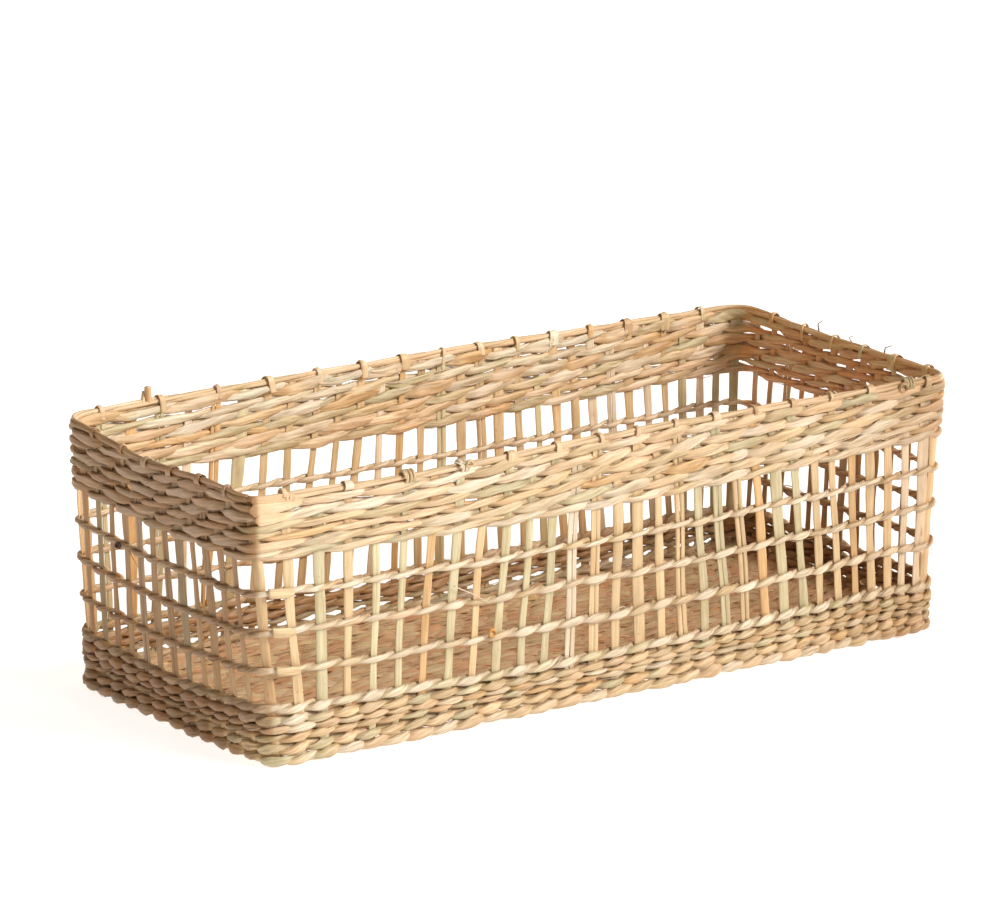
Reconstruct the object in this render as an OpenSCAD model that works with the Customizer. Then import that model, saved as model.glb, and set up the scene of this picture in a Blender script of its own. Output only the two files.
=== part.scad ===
// Rectangular bread basket, twined from dried rush over flat upright stakes.
// The origin is the centre of the underside. +X runs along the long side and +Z is up.
// Each twined row is two strands that pass each other between every pair of stakes,
// so that at each stake one strand lies outside and the other inside.

/* [Basket] */
// Outside length at the rim
length = 360; // [280:5:480]
// Outside width at the rim
width = 152; // [120:2:240]
// Overall height, foot to rim
height = 120; // [96:2:180]
// How far each short end leans out from foot to rim
end_flare = 5; // [0:0.5:8]
// How far each long side leans out from foot to rim
side_flare = 1.5; // [0:0.5:6]
// Plan radius of the wall at the corners, to the middle of the stakes
corner_radius = 11; // [8:1:16]

/* [Stakes] */
// Width of a stake
stake_width = 4.2; // [3:0.2:5.6]
// Thickness of a stake
stake_thickness = 1; // [0.6:0.1:1.6]
// Width of a corner stake
corner_stake_width = 5.2; // [4:0.2:6.4]
// Average spacing of the stakes along a long side
long_spacing = 11.2; // [10:0.2:15]
// Average spacing of the stakes along a short end
short_spacing = 11; // [10:0.2:15]
// How much the long side's spacing is over its average at -X and under it at +X, as a share
spacing_drift = 0.2; // [0:0.05:0.3]
// How far the stakes halfway out from a long side's middle lean in towards it at the rim
stake_lean = 7; // [0:0.5:9]

/* [Weaving] */
// Thickness of a strand across the wall
strand_thickness = 1.6; // [1:0.1:2.4]
// Height of a twined row of two strands in the lattice and the bottom band
row_height = 4.6; // [3.6:0.2:5.6]
// Height of a twined row in the top band
top_row_height = 3.8; // [3:0.2:4.8]
// Space between two rows of a closed band
row_gap = 0.3; // [0.1:0.1:0.8]
// Rows in the closed band at the bottom
bottom_rows = 5; // [3:1:6]
// Rows in the open lattice
open_rows = 3; // [1:1:4]
// Rows in the closed band at the top
top_rows = 6; // [3:1:6]
// Stakes that a strand of the top band passes before it changes sides
top_span = 2; // [1:1:3]
// Space left between a strand and what it lies against
weave_clearance = 0.15; // [0.1:0.05:0.3]

/* [Foot and floor] */
// Height of the twisted foot that the wall stands on
foot_height = 4.4; // [3.6:0.2:6]
// How far the foot stands out past the wall
foot_overhang = 0.8; // [0:0.2:2]
// Thickness of a floor strip
floor_thickness = 1.6; // [1:0.1:2.4]
// Width of a floor strip
floor_strip_width = 5; // [3.6:0.2:7]
// Space between two floor strips
floor_strip_gap = 0.4; // [0.2:0.1:1]

/* [Rim] */
// Diameter of the rim rod
rod_diameter = 3; // [2.4:0.2:4]
// Thickness of a stake end where it is folded over the rod
wrap_thickness = 0.8; // [0.6:0.1:1.2]
// Width of a folded stake end
wrap_width = 4; // [3:0.2:5]
// Height of the open line between the rod and the top band
rim_gap = 0.8; // [0.4:0.2:2]

/* [Hidden] */
$fn = 48;
right_angle = 90;
full_turn = 360;
strand_colour = "#dcc08c";
open_strand_colour = "#e6cf9e";
stake_colour = "#ecd9a8";
floor_colour = "#c9a47c";
rim_colour = "#d2b184";

// From the middle of a stake to the outer face of the strand beside it
wall_half = stake_thickness / 2 + weave_clearance + strand_thickness;
strand_offset = wall_half - strand_thickness / 2;
// The same at the rim, where a folded stake end may stand out further
fold_half = rod_diameter / 2 + weave_clearance + wrap_thickness;
rim_half = max(wall_half, fold_half);

// Levels, from the floor up
warp_z = foot_height + weave_clearance;
bottom_band_z = warp_z + stake_thickness + weave_clearance;
row_step = row_height + row_gap;
top_row_step = top_row_height + row_gap;
bottom_band_top = bottom_band_z + bottom_rows * row_step - row_gap;
rod_z = height - fold_half;
top_band_top = rod_z - rod_diameter / 2 - rim_gap;
top_band_z = top_band_top - top_rows * top_row_step + row_gap;
open_step = (top_band_z - bottom_band_top - open_rows * row_height) / (open_rows + 1);
stake_top = rod_z - rod_diameter / 2 - weave_clearance;

// Half length and half width of the wall's middle surface at height z
function half_x(z) = length / 2 - rim_half - end_flare * (1 - z / height);
function half_y(z) = width / 2 - rim_half - side_flare * (1 - z / height);

// A side runs from the middle of one corner arc to the middle of the next
half_arc = corner_radius * PI / 4;
function side_run(half) = 2 * (half - corner_radius + half_arc);
long_count = round(side_run(half_x(height / 2)) / long_spacing) - 1;
short_count = round(side_run(half_y(height / 2)) / short_spacing) - 1;

// Places of the stakes along a side, from -1 to +1
function long_share(k) = k / (long_count + 1);
function long_place(k) =
    let (u = long_share(k))
    2 * (u + spacing_drift * u * (1 - u)) - 1;
function short_place(k) = 2 * k / (short_count + 1) - 1;

// Where a stake crosses height z: fanned out with the wall, and leaning on a long side
function lean(k, z) = stake_lean * sin(full_turn * long_share(k)) * (z / height - 1 / 2);
function long_x(k, z) = long_place(k) * side_run(half_x(z)) / 2 + lean(k, z);
function short_y(k, z) = short_place(k) * side_run(half_y(z)) / 2;

// A station is where a stake crosses height z: [x, y, direction it faces, its half width]
half_stake = stake_width / 2;
function front_station(k, z) = [long_x(k, z), -half_y(z), -90, half_stake];
function right_station(k, z) = [half_x(z), short_y(k, z), 0, half_stake];
function back_station(k, z) = [long_x(k, z), half_y(z), 90, half_stake];
function left_station(k, z) = [-half_x(z), short_y(k, z), 180, half_stake];
function corner_station(sx, sy, z) =
    let (reach = corner_radius * (1 - cos(45)))
    [sx * (half_x(z) - reach), sy * (half_y(z) - reach),
     atan2(sy, sx), corner_stake_width / 2];

// All the stations at height z, anticlockwise from the -X, -Y corner
function stations(z) = concat(
    [corner_station(-1, -1, z)],
    [for (k = [1 : long_count]) front_station(k, z)],
    [corner_station(1, -1, z)],
    [for (k = [1 : short_count]) right_station(k, z)],
    [corner_station(1, 1, z)],
    [for (k = [long_count : -1 : 1]) back_station(k, z)],
    [corner_station(-1, 1, z)],
    [for (k = [short_count : -1 : 1]) left_station(k, z)]);

// The point beside a station, moved out by n and along the wall by t
function beside(s, n, t) =
    [s[0] + n * cos(s[2]) - t * sin(s[2]), s[1] + n * sin(s[2]) + t * cos(s[2])];

// One edge of a strand: outside the wall for a span of stakes, then inside for a span
function strand_edge(z, span, first, shift) =
    let (ring = stations(z))
    [for (i = [0 : len(ring) - 1])
        let (side = floor((i + first) / span) % 2 == 0 ? 1 : -1,
             flat = ring[i][3] + weave_clearance)
        for (t = [-flat, flat]) beside(ring[i], side * strand_offset + shift, t)];

// One strand right round the basket. Its size is the wall's at height z.
module strand(z, bottom, tall, span, first, out) {
    translate([0, 0, bottom])
        linear_extrude(tall)
            difference() {
                polygon(strand_edge(z, span, first, out + strand_thickness / 2));
                polygon(strand_edge(z, span, first, out - strand_thickness / 2));
            }
}

// A twined row: two strands, one lying on the other, always on opposite sides of a stake
module twined_row(bottom, tall, span = 1, first = 0, out = 0) {
    middle = bottom + tall / 2;
    strand_tall = (tall - weave_clearance) / 2;
    strand(middle, bottom, strand_tall, span, first, out);
    strand(middle, bottom + tall - strand_tall, strand_tall, span, first + span, out);
}

module foot_braid() {
    color(strand_colour) twined_row(0, foot_height, out = foot_overhang);
}

module bottom_row(i) {
    color(strand_colour) twined_row(bottom_band_z + (i - 1) * row_step, row_height);
}

module open_row(i) {
    color(open_strand_colour)
        twined_row(bottom_band_top + i * open_step + (i - 1) * row_height, row_height);
}

// Each row of the top band starts one stake further on than the row below it
module top_row(i) {
    color(strand_colour)
        twined_row(top_band_z + (i - 1) * top_row_step, top_row_height, top_span, i);
}

// The four corners of a stake's section, low to high in plan order
function stake_section(s, z) =
    [for (c = [[1, -1], [1, 1], [-1, 1], [-1, -1]])
        concat(beside(s, c[0] * stake_thickness / 2, c[1] * s[3]), z)];

// A flat stake that leans with the wall, from the floor's warps up to the rim rod
module stake(low, high) {
    polyhedron(
        points = concat(stake_section(low, warp_z), stake_section(high, stake_top)),
        faces = [[0, 1, 2, 3], [7, 6, 5, 4], [0, 4, 5, 1], [1, 5, 6, 2], [2, 6, 7, 3], [3, 7, 4, 0]]);
}

module front_stakes() {
    color(stake_colour)
        for (k = [1 : long_count])
            stake(front_station(k, warp_z), front_station(k, stake_top));
}

module back_stakes() {
    color(stake_colour)
        for (k = [1 : long_count])
            stake(back_station(k, warp_z), back_station(k, stake_top));
}

module left_stakes() {
    color(stake_colour)
        for (k = [1 : short_count])
            stake(left_station(k, warp_z), left_station(k, stake_top));
}

module right_stakes() {
    color(stake_colour)
        for (k = [1 : short_count])
            stake(right_station(k, warp_z), right_station(k, stake_top));
}

module corner_stakes() {
    color(stake_colour)
        for (sx = [-1, 1], sy = [-1, 1])
            stake(corner_station(sx, sy, warp_z), corner_station(sx, sy, stake_top));
}

// The floor reaches to the inner strands of the wall
floor_half_x = half_x(0) - wall_half - weave_clearance;
floor_half_y = half_y(0) - wall_half - weave_clearance;
// The strands cut across the corner arcs, so the floor's corners are rounder than the wall's
floor_corner_radius = corner_radius + strand_thickness;

module floor_outline() {
    inset_x = floor_half_x - floor_corner_radius;
    inset_y = floor_half_y - floor_corner_radius;
    square([2 * inset_x, 2 * floor_half_y], center = true);
    square([2 * floor_half_x, 2 * inset_y], center = true);
    for (sx = [-1, 1], sy = [-1, 1])
        translate([sx * inset_x, sy * inset_y]) circle(floor_corner_radius);
}

// Whole strips side by side along X, as many as the width holds
floor_step = floor_strip_width + floor_strip_gap;
floor_count = floor((2 * floor_half_y + floor_strip_gap) / floor_step);

module floor_strips(bottom) {
    translate([0, 0, bottom])
        linear_extrude(floor_thickness)
            intersection() {
                floor_outline();
                for (j = [0 : floor_count - 1])
                    translate([0, (j - (floor_count - 1) / 2) * floor_step])
                        square([2 * floor_half_x, floor_strip_width], center = true);
            }
}

module floor_rows_lower() {
    color(floor_colour) floor_strips(warp_z - weave_clearance - floor_thickness);
}

module floor_rows_upper() {
    color(floor_colour) floor_strips(warp_z + stake_thickness + weave_clearance);
}

// Strips across the floor that meet the front and back stakes end to end
module floor_warps() {
    reach = half_y(warp_z) - stake_thickness / 2 - weave_clearance;
    color(floor_colour)
        for (k = [1 : long_count])
            translate([long_x(k, warp_z) - half_stake, -reach, warp_z])
                cube([stake_width, 2 * reach, stake_thickness]);
}

// The rod's straight lengths end on a grid, so that they meet the corner arcs exactly
rod_grid = 0.01;
function on_grid(v) = round(v / rod_grid) * rod_grid;

module rim_rod() {
    straight_x = on_grid(half_x(rod_z) - corner_radius);
    straight_y = on_grid(half_y(rod_z) - corner_radius);
    color(rim_colour)
        translate([0, 0, rod_z]) {
            for (side = [-1, 1]) {
                translate([-straight_x, side * (straight_y + corner_radius), 0])
                    rotate([0, right_angle, 0]) cylinder(h = 2 * straight_x, d = rod_diameter);
                translate([side * (straight_x + corner_radius), straight_y, 0])
                    rotate([right_angle, 0, 0]) cylinder(h = 2 * straight_y, d = rod_diameter);
            }
            for (sx = [-1, 1], sy = [-1, 1])
                translate([sx * straight_x, sy * straight_y, 0])
                    rotate([0, 0, atan2(sy, sx) - right_angle / 2])
                        rotate_extrude(angle = right_angle)
                            translate([corner_radius, 0]) circle(d = rod_diameter);
        }
}

// A stake end folded over the rod, its two legs down to the top band
module wrap(s) {
    bend = rod_diameter / 2 + weave_clearance;
    leg = rod_z - top_band_top - weave_clearance;
    translate([s[0], s[1], rod_z])
        rotate([right_angle, 0, s[2]])
            linear_extrude(wrap_width, center = true)
                difference() {
                    union() {
                        circle(fold_half);
                        translate([-fold_half, -leg]) square([2 * fold_half, leg]);
                    }
                    circle(bend);
                    translate([-bend, -leg - bend]) square([2 * bend, leg + bend]);
                }
}

module front_wraps() {
    color(rim_colour) for (k = [1 : 2 : long_count]) wrap(front_station(k, rod_z));
}

module back_wraps() {
    color(rim_colour) for (k = [1 : 2 : long_count]) wrap(back_station(k, rod_z));
}

module left_wraps() {
    color(rim_colour) for (k = [1 : 2 : short_count]) wrap(left_station(k, rod_z));
}

module right_wraps() {
    color(rim_colour) for (k = [1 : 2 : short_count]) wrap(right_station(k, rod_z));
}

foot_braid();
floor_rows_lower();
floor_warps();
floor_rows_upper();
front_stakes();
back_stakes();
left_stakes();
right_stakes();
corner_stakes();
for (i = [1 : bottom_rows]) bottom_row(i);
for (i = [1 : open_rows]) open_row(i);
for (i = [1 : top_rows]) top_row(i);
rim_rod();
front_wraps();
back_wraps();
left_wraps();
right_wraps();
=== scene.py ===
"""Looks for a long rectangular bread basket, twined from dried rush over flat upright stakes.

Every strand, stake and fold is swept along the wall of the CAD model: a place on the wall is
a ring place g (0 to 4, one unit a side, from the -X -Y corner towards +X), a height z and a
distance n out from the middle of the stakes. Sizes are in metres.
"""

import math

import bpy
import numpy as np
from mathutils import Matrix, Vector


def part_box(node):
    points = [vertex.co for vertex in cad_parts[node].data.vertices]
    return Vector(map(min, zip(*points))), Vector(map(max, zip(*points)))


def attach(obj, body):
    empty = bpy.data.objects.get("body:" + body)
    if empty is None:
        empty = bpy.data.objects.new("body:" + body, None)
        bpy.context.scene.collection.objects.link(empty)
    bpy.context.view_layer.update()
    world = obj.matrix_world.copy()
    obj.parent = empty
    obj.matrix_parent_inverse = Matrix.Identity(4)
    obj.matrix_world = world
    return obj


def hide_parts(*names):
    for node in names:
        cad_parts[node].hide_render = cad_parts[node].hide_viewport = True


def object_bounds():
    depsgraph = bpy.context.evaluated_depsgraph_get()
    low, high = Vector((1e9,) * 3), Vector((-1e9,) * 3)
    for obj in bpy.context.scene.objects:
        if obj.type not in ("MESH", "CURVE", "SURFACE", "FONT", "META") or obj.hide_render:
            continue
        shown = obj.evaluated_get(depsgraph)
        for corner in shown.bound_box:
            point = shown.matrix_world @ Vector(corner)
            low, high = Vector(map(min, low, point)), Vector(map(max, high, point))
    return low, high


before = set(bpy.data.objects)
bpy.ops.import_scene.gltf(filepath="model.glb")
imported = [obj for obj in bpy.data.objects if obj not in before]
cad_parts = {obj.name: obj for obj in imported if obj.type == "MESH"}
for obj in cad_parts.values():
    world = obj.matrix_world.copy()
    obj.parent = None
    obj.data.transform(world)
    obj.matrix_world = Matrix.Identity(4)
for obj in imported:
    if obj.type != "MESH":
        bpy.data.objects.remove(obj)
cad_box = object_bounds()

MM = 0.001
TAU = 2 * math.pi

# Half the thickness of a twined row and the corner radius, which the CAD wall has at every height
WALL_HALF = 2.25 * MM
CORNER_RADIUS = 11 * MM


def box_of(node):
    low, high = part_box(node)
    return np.array(low), np.array(high)


def middle_z(node):
    low, high = box_of(node)
    return (low[2] + high[2]) / 2


LOW_ROW, HIGH_ROW = "bottom_row_1", "top_row_6"
row_z = np.array([middle_z(LOW_ROW), middle_z(HIGH_ROW)])
row_x = np.array([box_of(n)[1][0] - WALL_HALF for n in (LOW_ROW, HIGH_ROW)])
row_y = np.array([box_of(n)[1][1] - WALL_HALF for n in (LOW_ROW, HIGH_ROW)])
HEIGHT = cad_box[1][2]
ROD_Z = middle_z("rim_rod")
ROD_RADIUS = (box_of("rim_rod")[1][2] - box_of("rim_rod")[0][2]) / 2
STAKE_LOW, STAKE_HIGH = box_of("front_stakes")[0][2], box_of("front_stakes")[1][2]


def half_x(z):
    """Half the length between the middles of the end walls at height z."""
    return row_x[0] + (row_x[1] - row_x[0]) * (z - row_z[0]) / (row_z[1] - row_z[0])


def half_y(z):
    """Half the width between the middles of the long walls at height z."""
    return row_y[0] + (row_y[1] - row_y[0]) * (z - row_z[0]) / (row_z[1] - row_z[0])


def side_run(half):
    """Length of a side whose half is half, with an eighth of a circle at each end."""
    return 2 * (half - CORNER_RADIUS + CORNER_RADIUS * math.pi / 4)


def islands(mesh, co):
    """A number for each vertex, the same for all the vertices of one solid."""
    _, place = np.unique(np.round(co / (0.01 * MM)), axis=0, return_inverse=True)
    place = place.reshape(-1)
    edges = place[np.array([e.vertices[:] for e in mesh.edges])]
    label = np.arange(place.max() + 1)
    while True:
        before = label.copy()
        for a, b in (edges.T, edges.T[::-1]):
            np.minimum.at(label, a, label[b])
        if (label == before).all():
            return label[place]


def stake_centres(node, level, axis):
    """Places along one axis where the stakes of a node cross their lowest or highest level."""
    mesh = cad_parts[node].data
    co = np.array([v.co for v in mesh.vertices])
    label = islands(mesh, co)
    at_level = np.abs(co[:, 2] - level) < 0.05 * MM
    spans = [co[at_level & (label == i), axis] for i in np.unique(label)]
    return np.array([(span.min() + span.max()) / 2 for span in spans])


def side_shares(node, axis, sign):
    """Each stake's share of its side at the bottom and the top, in ring order."""
    shares = []
    for level in (STAKE_LOW, STAKE_HIGH):
        run = side_run(half_x(level) if axis == 0 else half_y(level))
        shares.append(np.sort(sign * stake_centres(node, level, axis) / run + 0.5))
    return np.array(shares)


# Each side's node of stakes, the axis that it runs along and its direction
SIDES = (("front_stakes", 0, 1), ("right_stakes", 1, 1),
         ("back_stakes", 0, -1), ("left_stakes", 1, -1))
ring = [np.concatenate([[[i], [i]], i + side_shares(*side)], axis=1) for i, side in enumerate(SIDES)]
RING = np.concatenate(ring + [[[4], [4]]], axis=1)
STAKES = RING.shape[1] - 1
# How far the stakes lean along their side at the most, more to one end than to the other
LEAN = 3.2 * MM
LEAN_BIAS = 0.4
in_side = RING[0] - np.floor(RING[0])
wave = np.sin(TAU * in_side) - LEAN_BIAS * np.sin(math.pi * in_side)
leaning = LEAN * wave / side_run(half_x(HEIGHT / 2))
RING = RING + np.array([[-1], [1]]) * leaning
SIDE_OF = np.floor(RING[0, :-1]).astype(int)


def stations(z):
    """Ring place of every stake, and of the first one again, at height z."""
    f = (z - STAKE_LOW) / (STAKE_HIGH - STAKE_LOW)
    return RING[0] * (1 - f) + RING[1] * f


def wall_point(g, z):
    """Plan position and outward normal of the wall's middle surface."""
    g = np.mod(g, 4)
    side = np.minimum(np.floor(g), 3)
    u = g - side
    even = side % 2 == 0
    hx, hy = half_x(z), half_y(z)
    along_half, out_half = np.where(even, hx, hy), np.where(even, hy, hx)
    t = (u - 0.5) * side_run(along_half)
    straight = along_half - CORNER_RADIUS
    angle = np.sign(t) * np.maximum(np.abs(t) - straight, 0) / CORNER_RADIUS
    along = np.clip(t, -straight, straight) + CORNER_RADIUS * np.sin(angle)
    out = out_half - CORNER_RADIUS + CORNER_RADIUS * np.cos(angle)
    turn = side * math.pi / 2
    ex, ey = np.cos(turn), np.sin(turn)
    n_along, n_out = np.sin(angle), np.cos(angle)
    return (along * ex + out * ey, along * ey - out * ex,
            n_along * ex + n_out * ey, n_along * ey - n_out * ex)


def run_at(g, z):
    """Length of the side that ring place g is on."""
    even = np.floor(np.mod(g, 4)) % 2 == 0
    return side_run(np.where(even, half_x(z), half_y(z)))


# How a hand-made basket differs from a true box: each side sags between its corners, the rim
# stands lower at some corners than at others, the -X -Y corner leans and the long -Y side has
# creased corners.
# For each side: the rim's sag, its place and spread along the side, the lattice's sag and how
# much thinner the bottom band is at the start and at the end of the side, in mm
SAGS = ((2.5, 0.2, 0.2, 4.0, 0.0, 4.0), (1.0, 0.5, 0.3, 1.0, 4.0, 2.0),
        (-1.0, 0.6, 0.3, 2.0, 2.0, 1.0), (4.0, 0.45, 0.25, 3.0, 1.0, 0.0))
RIM_DROPS = (3.0, 4.0, 0.0, 1.0)
LATTICE_DROP = 3.2
CORNER_LEAN = 3.5 * MM
CORNER_REACH = 55 * MM
CREASE, CREASE_REACH = 1.6 * MM, 9 * MM
CREASE_LOW, CREASE_RIGHT = 0.35, 0.5
# Heights between which each move sets in, and the middle and reach of the bottom band
RIM_HEIGHTS = (88 * MM, 118 * MM)
LATTICE_HEIGHTS = (6 * MM, 28 * MM)
CREASE_HEIGHTS = (60 * MM, 95 * MM)
BAND_MIDDLE, BAND_REACH = 27 * MM, 13 * MM


def bump(x):
    """1 at x = 0, falling to almost nothing at 2 either way."""
    return np.exp(-x * x)


def ramp_up(x, low, high):
    """0 up to low, 1 from high and smooth between them."""
    t = np.clip((x - low) / (high - low), 0, 1)
    return t * t * (3 - 2 * t)


def settle(x, y, z):
    """Moves a point of the true shape to where the hand-made basket has it."""
    share = np.clip(z / HEIGHT, 0, 1)
    rim = ramp_up(z, *RIM_HEIGHTS)
    lattice = ramp_up(z, *LATTICE_HEIGHTS) * (1 - rim)
    band = bump((z - BAND_MIDDLE) / BAND_REACH)
    hx, hy = half_x(z), half_y(z)
    fx, fy = np.clip(x / hx / 2 + 0.5, 0, 1), np.clip(y / hy / 2 + 0.5, 0, 1)
    drops = (RIM_DROPS[0] * (1 - fx) * (1 - fy) + RIM_DROPS[1] * fx * (1 - fy)
             + RIM_DROPS[2] * fx * fy + RIM_DROPS[3] * (1 - fx) * fy)
    dz = -(drops * rim + LATTICE_DROP * lattice) * MM
    for side, (rim_sag, place, spread, lattice_sag, thin_start, thin_end) in enumerate(SAGS):
        even = side % 2 == 0
        along = (x / hx if even else y / hy) * (1 if side < 2 else -1)
        out = (-y / hy, x / hx, y / hy, -x / hx)[side]
        near = ramp_up(out, 0.8, 1.0)
        u = np.clip(along / 2 + 0.5, 0, 1)
        dz -= near * rim_sag * MM * rim * bump((u - place) / spread)
        dz -= near * lattice_sag * MM * lattice * np.sin(math.pi * u)
        dz -= near * band * (thin_start + (thin_end - thin_start) * u) * 0.5 * MM
    corner = bump(np.hypot(x + hx, y + hy) / CORNER_REACH)
    crease = CREASE * (CREASE_LOW + (1 - CREASE_LOW) * ramp_up(z, *CREASE_HEIGHTS))
    crease = crease * bump(np.hypot(hx - np.abs(x), hy + y) / CREASE_REACH)
    crease = crease * np.where(x < 0, 1, CREASE_RIGHT)
    x, y = x + crease * np.sign(x), y - crease
    dx = CORNER_LEAN * corner * (0.5 - share) * 2
    return x + dx, y, z + dz


# ---------------------------------------------------------------- swept tubes


# The bake map lays all the tubes of a piece end to end on shelves. SHELF_FILL is how many times
# the widest tube a shelf is high, and each end face has a disc on the row above them.
SHELF_MARGIN = 2 * MM
SHELF_FILL = 1.1
DISC_SIZE = 0.3
# Each tube starts at another place of the straw materials, and no tone is lighter than this
NEXT_STRAW = 0.37
LIGHTEST = 0.92


def tube_quads(rings, sides):
    """Vertex numbers of the quads round a tube."""
    i = np.arange(rings - 1)[:, None]
    j = np.arange(sides)[None, :]
    k = (j + 1) % sides
    corners = (i * sides + j, i * sides + k, (i + 1) * sides + k, (i + 1) * sides + j)
    return np.stack(np.broadcast_arrays(*corners), -1).reshape(-1, 4)


def quad_map(left, right, low, high):
    """Map places of the corners of a grid of quads, in the order of tube_quads."""
    corners = [np.stack(pair, -1) for pair in ((left, low), (left, high), (right, high), (right, low))]
    return np.stack(corners, 2).reshape(-1, 4, 2)


def end_maps(caps, rows):
    """Strand map and bake map of the end faces."""
    cell = np.array([1 / len(caps), 1 / (rows + 1)])
    strand_map, bake_map = [], []
    for index, cap in enumerate(caps):
        a = np.arange(len(cap)) / len(cap) * TAU
        disc = np.stack([np.cos(a), np.sin(a)], -1)
        middle = np.array([(index + 0.5) / len(caps), (rows + 0.5) / (rows + 1)])
        strand_map.append(disc * MM)
        bake_map.append(middle + disc * DISC_SIZE * cell)
    return strand_map, bake_map


def face_mesh(name, verts, quads, caps):
    """A smooth-shaded mesh of the quads round the tubes and the faces at their ends."""
    mesh = bpy.data.meshes.new(name)
    loops = np.concatenate([quads.ravel()] + caps)
    totals = np.concatenate([np.full(len(quads), 4), [len(cap) for cap in caps]])
    starts = np.concatenate([[0], np.cumsum(totals)[:-1]])
    mesh.vertices.add(len(verts))
    mesh.vertices.foreach_set("co", verts.astype(np.float32).ravel())
    mesh.loops.add(len(loops))
    mesh.loops.foreach_set("vertex_index", loops.astype(np.int32))
    mesh.polygons.add(len(totals))
    mesh.polygons.foreach_set("loop_start", starts.astype(np.int32))
    mesh.polygons.foreach_set("use_smooth", np.ones(len(totals), bool))
    return mesh


class Bag:
    """Gathers swept tubes into one mesh with strand coordinates, colours with painted light and shade, and
    a map for baking.
    """

    def __init__(self):
        self.tubes = []

    def add(self, points, length, tone, around):
        """points: rings x sides x 3. length: distance along at each ring. tone: the colour.
        around: about the distance round the tube."""
        self.tubes.append((points, length, np.broadcast_to(tone, points.shape), around))

    def faces(self):
        """Vertices, quads and end faces of all the tubes."""
        quads, caps, base = [], [], 0
        for points, _, _, _ in self.tubes:
            rings, sides = points.shape[:2]
            quads.append(base + tube_quads(rings, sides))
            caps.append(base + np.arange(sides)[::-1])
            caps.append(base + (rings - 1) * sides + np.arange(sides))
            base += rings * sides
        verts = [points.reshape(-1, 3) for points, _, _, _ in self.tubes]
        return np.concatenate(verts), np.concatenate(quads), caps

    def maps(self):
        """Strand map and bake map of the quads, and how many shelves the bake map has."""
        total = sum(length[-1] - length[0] for _, length, _, _ in self.tubes)
        tall = max(around for _, _, _, around in self.tubes) * SHELF_FILL
        shelf = math.sqrt(total * tall) + SHELF_MARGIN
        strand_map, bake_map, done = [], [], 0.0
        for index, (points, length, _, around) in enumerate(self.tubes):
            sides = points.shape[1]
            grid = (len(length) - 1, sides)
            low = np.broadcast_to(np.arange(sides) / sides, grid)
            high = np.broadcast_to((np.arange(sides) + 1) / sides, grid)
            start = np.broadcast_to(length[:-1, None], grid)
            end = np.broadcast_to(length[1:, None], grid)
            shift = NEXT_STRAW * index
            strand_map.append(quad_map(start + shift, end + shift, low, high))
            run = (done + length[:-1] - length[0])[:, None]
            row = np.floor(run / shelf)
            left = np.broadcast_to(run - row * shelf, grid)
            share = around / tall
            bake_map.append(quad_map(left, left + (end - start), row + low * share, row + high * share))
            done += length[-1] - length[0]
        rows = math.ceil(done / shelf) + 1
        bakes = np.concatenate(bake_map) / np.array([shelf + SHELF_MARGIN, rows + 1])
        return np.concatenate(strand_map), bakes, rows

    def mesh(self, name):
        verts, quads, caps = self.faces()
        strands, bakes, rows = self.maps()
        strand_ends, bake_ends = end_maps(caps, rows)
        mesh = face_mesh(name, verts, quads, caps)
        for map_name, quad_places, ends in (("strand", strands, strand_ends), ("OFBake", bakes, bake_ends)):
            layer = mesh.uv_layers.new(name=map_name)
            places = np.concatenate([quad_places.reshape(-1, 2)] + ends).astype(np.float32)
            layer.uv.foreach_set("vector", places.ravel())
        mesh.update(calc_edges=True)
        tones = np.concatenate([tone.reshape(-1, 3) for _, _, tone, _ in self.tubes])
        colour = mesh.color_attributes.new("tone", "FLOAT_COLOR", "POINT")
        # The vertex colours are each strand's tone times the painted light and shade that depend on where
        # the point is.
        rgba = np.concatenate([np.clip(tones * painted_light_and_shade(verts), 0, LIGHTEST), np.ones((len(tones), 1))], axis=1)
        colour.data.foreach_set("color", rgba.astype(np.float32).ravel())
        return mesh


# Painted shade, how far the straw is darkened where the basket stands in shade: towards +X and more so at
# the top there, low down, on the -X side and more so low on it, low on the walls inside, on the inner +X
# wall and outside near the +X end
PAINTED_SHADE_RIGHT, PAINTED_SHADE_RIGHT_TOP, PAINTED_SHADE_LOW = 0.10, 0.07, 0.10
PAINTED_SHADE_END, PAINTED_SHADE_END_LOW = 0.72, 0.2
PAINTED_SHADE_WALLS, PAINTED_SHADE_FAR, PAINTED_SHADE_RIGHT_END = 0.6, 0.6, 0.36
# How much each of red, green and blue darkens under the painted shade
PAINTED_SHADE_COLOUR = np.array([0.75, 1.1, 1.5])
# Painted light: how much paler the straw is inside, and more so towards +X and at the top
PAINTED_LIGHT_INSIDE, PAINTED_LIGHT_RIGHT, PAINTED_LIGHT_TOP = 0.12, 0.06, 0.05
# Painted warm light: the inner +X wall is redder and lighter near its top
PAINTED_WARM_LIGHT = np.array([0.46, 0.06, -0.1])


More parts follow.
